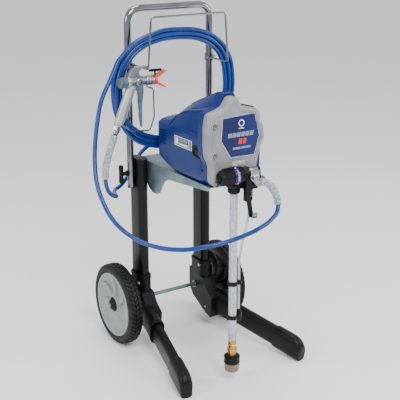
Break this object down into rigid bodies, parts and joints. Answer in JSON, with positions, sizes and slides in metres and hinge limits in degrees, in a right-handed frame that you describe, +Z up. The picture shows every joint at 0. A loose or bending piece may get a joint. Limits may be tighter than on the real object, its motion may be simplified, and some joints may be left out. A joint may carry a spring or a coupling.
{
  "type": "airless paint sprayer",
  "caption": "Airless paint sprayer on a two-wheel upright cart, with a coiled blue hose, a hanging spray gun and a suction tube with strainer.",
  "frame": {"origin": "On the floor under the middle of the whole machine, hoses and tubes left out.", "axes": "+Z up. The pump and the feet point to -Y, the wheels are at +Y, and the axle lies along X."},
  "size_m": [0.5143, 0.5593, 0.95],
  "materials": {
    "chrome": "bright smooth plating",
    "zinc_steel": "blue-grey zinc plate, satin",
    "black_paint": "satin black powder coat",
    "black_plastic": "moulded, fine texture",
    "tyre_rubber": "dull moulded rubber",
    "grey_hub": "pale grey moulding",
    "blue_plastic": "deep blue, semi-gloss",
    "grey_cover": "mid grey, smooth satin",
    "label_blue": "dark blue printed film",
    "aluminium": "cast and machined, satin",
    "steel": "machined, bright",
    "copper": "varnished copper winding",
    "brass": "turned brass",
    "clear_tube": "clear flexible plastic, slightly milky",
    "strainer_tan": "translucent tan mesh and moulding",
    "hose_blue": "blue hose cover, semi-gloss",
    "orange_plastic": "orange-red moulding",
    "gun_blue_grey": "blue-grey satin coat"
  },
  "bodies": {
    "cart": {"axle": "zinc_steel", "control_ring": "blue_plastic", "cord_gland": "black_plastic", "drain_barb": "black_plastic", "drain_tip": "black_plastic", "drain_tube": "clear_tube", "drive_housing": "aluminium", "foot_cap_left": "tyre_rubber", "foot_cap_right": "tyre_rubber", "foot_left": "black_paint", "foot_right": "black_paint", "front_cover": "grey_cover", "front_label": "label_blue", "handle_tube": "chrome", "hose_coil": "hose_blue", "hose_loop": "hose_blue", "hose_rack": "chrome", "hose_tail": "hose_blue", "leg_left": "black_paint", "leg_right": "black_paint", "motor_shroud": "blue_plastic", "motor_stator": "copper", "outlet_fitting": "steel", "pail_hook": "zinc_steel", "prime_valve": "aluminium", "pump_body": "black_paint", "rack_clamp_left": "chrome", "rack_clamp_right": "chrome", "shelf_bracket": "zinc_steel", "socket_left": "black_plastic", "socket_right": "black_plastic", "strainer_ring": "black_plastic", "strainer_screen": "strainer_tan", "suction_barb": "brass", "suction_nut": "black_plastic", "suction_tube": "clear_tube", "switch_bezel": "black_plastic", "tube_clip_upper": "black_plastic"},
    "wheel_left": {"wheel_hub_left": "grey_hub", "tyre_left": "tyre_rubber", "hub_cap_left": "black_plastic"},
    "wheel_right": {"wheel_hub_right": "grey_hub", "tyre_right": "tyre_rubber", "hub_cap_right": "black_plastic"},
    "knob_left": {"handle_knob_left": "black_plastic"},
    "knob_right": {"handle_knob_right": "black_plastic"},
    "rotor": {"motor_rotor": "steel"},
    "crank_shaft": {"crank": "steel"},
    "piston": {"piston_yoke": "steel"},
    "pressure_control": {"pressure_knob": "black_plastic"},
    "prime_lever": {"prime_handle": "black_plastic"},
    "power_rocker": {"switch_rocker": "black_plastic"},
    "gun": {"gun_body": "aluminium", "gun_cap": "gun_blue_grey", "gun_head": "aluminium", "gun_swivel": "steel", "trigger_guard": "chrome"},
    "trigger": {"gun_trigger": "gun_blue_grey"},
    "guard": {"tip_guard": "orange_plastic"},
    "tip": {"spray_tip": "black_plastic"}
  },
  "joints": [
    {"name": "wheel_left_spin", "type": "hinge", "parent": "cart", "child": "wheel_left", "pos_m": [-0.1836, 0.1481, 0.1165], "axis": [1, 0, 0], "continuous": true},
    {"name": "wheel_right_spin", "type": "hinge", "parent": "cart", "child": "wheel_right", "pos_m": [0.206, 0.1481, 0.1165], "axis": [1, 0, 0], "continuous": true},
    {"name": "knob_left_turn", "type": "hinge", "parent": "cart", "child": "knob_left", "pos_m": [-0.1266, 0.1405, 0.4985], "axis": [-1, 0, 0], "range_deg": [-450, 0]},
    {"name": "knob_right_turn", "type": "hinge", "parent": "cart", "child": "knob_right", "pos_m": [0.149, 0.1405, 0.4985], "axis": [1, 0, 0], "range_deg": [-450, 0]},
    {"name": "rotor_spin", "type": "hinge", "parent": "cart", "child": "rotor", "pos_m": [0.0112, -0.0245, 0.635], "axis": [0, 1, 0], "continuous": true},
    {"name": "crank_turn", "type": "hinge", "parent": "cart", "child": "crank_shaft", "pos_m": [0.0112, -0.1455, 0.635], "axis": [0, 1, 0], "continuous": true},
    {"name": "piston_slide", "type": "slide", "parent": "cart", "child": "piston", "axis": [0, 0, 1], "range_m": [0, 0.012]},
    {"name": "pressure_turn", "type": "hinge", "parent": "cart", "child": "pressure_control", "pos_m": [-0.0403, -0.2335, 0.567], "axis": [-1, 0, 0], "range_deg": [0, 270]},
    {"name": "prime_turn", "type": "hinge", "parent": "cart", "child": "prime_lever", "pos_m": [0.0428, -0.2215, 0.569], "axis": [1, 0, 0], "range_deg": [-90, 0]},
    {"name": "power_rock", "type": "hinge", "parent": "cart", "child": "power_rocker", "pos_m": [-0.0718, -0.1305, 0.611], "axis": [0, 1, 0], "range_deg": [0, 16]},
    {"name": "gun_lift", "type": "slide", "parent": "cart", "child": "gun", "axis": [0, 0, 1], "range_m": [0, 0.01]},
    {"name": "trigger_pull", "type": "hinge", "parent": "gun", "child": "trigger", "pos_m": [-0.1378, 0.0525, 0.766], "axis": [0, 1, 0], "range_deg": [0, 14], "stiffness_Nm_per_rad": 0.3, "springref_deg": -11.46},
    {"name": "guard_turn", "type": "hinge", "parent": "gun", "child": "guard", "pos_m": [-0.0907, 0.0525, 0.767], "axis": [1, 0, 0], "range_deg": [0, 45]},
    {"name": "tip_turn", "type": "hinge", "parent": "guard", "child": "tip", "pos_m": [-0.0862, 0.0525, 0.767], "axis": [0, 0, 1], "range_deg": [0, 180]}
  ],
  "couplings": [
    {"joint": "crank_turn", "follows": "rotor_spin", "ratio": 0.1}
  ]
}
